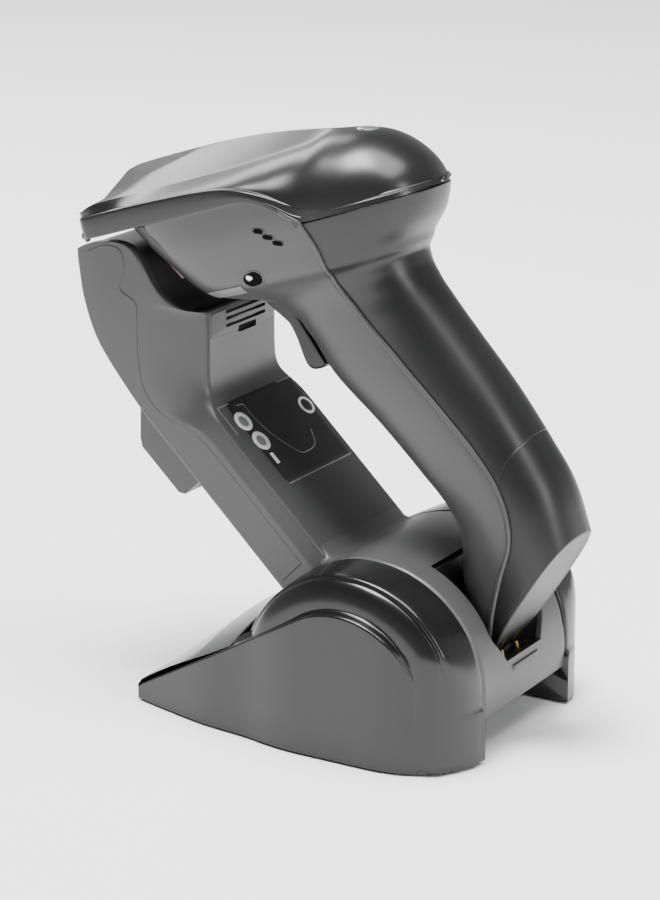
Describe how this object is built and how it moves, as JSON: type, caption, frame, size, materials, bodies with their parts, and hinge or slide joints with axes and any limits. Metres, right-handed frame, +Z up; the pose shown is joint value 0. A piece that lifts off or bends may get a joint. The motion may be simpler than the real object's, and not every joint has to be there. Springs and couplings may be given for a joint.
{
  "type": "handheld barcode scanner",
  "caption": "Cordless pistol-grip barcode scanner with a sprung trigger, lifting off a tilting charging cradle on a wedge-shaped desk foot with round cheeks.",
  "frame": {"origin": "on the desk, directly under the cradle's tilt axis, midway between the cheeks", "axes": "+Z up, +X towards the scanner's left side, -Y the way the nose points, +Y the back"},
  "size_m": [0.108, 0.1739, 0.1964],
  "materials": {
    "black_gloss": "satin to gloss moulded black",
    "dark_shell": "fine-grained charcoal",
    "hood_shell": "fine-grained dark grey",
    "grey_shell": "fine-grained mid grey",
    "cradle_grey": "fine-grained mid grey",
    "panel_grey": "fine-grained mid grey",
    "black_matte": "matt black",
    "film": "satin printed film",
    "light_pipe": "milky white",
    "red_window": "dark red tinted",
    "lens": "coated glass",
    "rubber": "matt",
    "steel": "zinc plated",
    "weight": "painted",
    "polymer": "natural acetal",
    "gold": "gold plated",
    "board": "solder mask",
    "cell_wrap": "shrink wrap",
    "zinc_cast": "die cast",
    "led": "clear resin",
    "label": "blank foil"
  },
  "bodies": {
    "base": {"base_frame": "black_gloss", "base_plate": "black_matte", "base_screws": "steel", "rubber_feet": "rubber", "ballast_plate": "weight", "pivot_pins": "steel", "friction_washers": "polymer"},
    "cradle": {"cradle_body": "cradle_grey", "cradle_face": "dark_shell", "vent_panel": "cradle_grey", "side_panel_left": "panel_grey", "side_panel_right": "panel_grey", "pocket_liner": "black_matte", "face_film": "film", "indicator_rings": "light_pipe", "page_switch": "black_matte", "connector_cover": "cradle_grey", "data_jack": "black_matte", "power_jack": "black_matte", "cradle_board": "board", "contact_block": "black_matte", "cradle_screws": "steel"},
    "page_button": {"page_button": "light_pipe"},
    "charge_pins": {"charge_pins": "gold"},
    "scanner": {"top_shell": "hood_shell", "front_shell": "grey_shell", "rear_shell": "dark_shell", "battery_cap": "dark_shell", "window_bezel": "black_matte", "scan_window": "red_window", "trigger_pin": "steel", "trigger_switch": "black_matte", "good_read_lamp": "light_pipe", "beeper": "black_matte", "engine_chassis": "zinc_cast", "engine_lens": "lens", "aiming_lens": "lens", "led_pair": "led", "engine_board": "board", "main_board": "board", "handle_board": "board", "battery_cell": "cell_wrap", "battery_contacts": "gold", "charge_pads": "gold", "cap_screw": "steel", "shell_screws": "steel", "blank_label": "label"},
    "trigger": {"trigger": "dark_shell"}
  },
  "joints": [
    {"name": "cradle_tilt", "type": "hinge", "parent": "base", "child": "cradle", "pos_m": [0, 0, 0.021], "axis": [1, 0, 0], "range_deg": [-18, 12]},
    {"name": "scanner_lift", "type": "slide", "parent": "cradle", "child": "scanner", "axis": [0, -0.309, 0.9511], "range_m": [0, 0.17]},
    {"name": "trigger_pull", "type": "hinge", "parent": "scanner", "child": "trigger", "pos_m": [0, -0.05286, 0.14328], "axis": [1, 0, 0], "range_deg": [0, 6], "stiffness_Nm_per_rad": 0.2, "springref_deg": -3.44},
    {"name": "page_button_press", "type": "slide", "parent": "cradle", "child": "page_button", "axis": [0, -0.6947, -0.7193], "range_m": [0, 0.0007], "stiffness_N_per_m": 900, "springref_m": -0.0008},
    {"name": "charge_pins_press", "type": "slide", "parent": "cradle", "child": "charge_pins", "axis": [0, 0.309, -0.9511], "range_m": [0, 0.0008], "stiffness_N_per_m": 400, "springref_m": -0.0008}
  ]
}
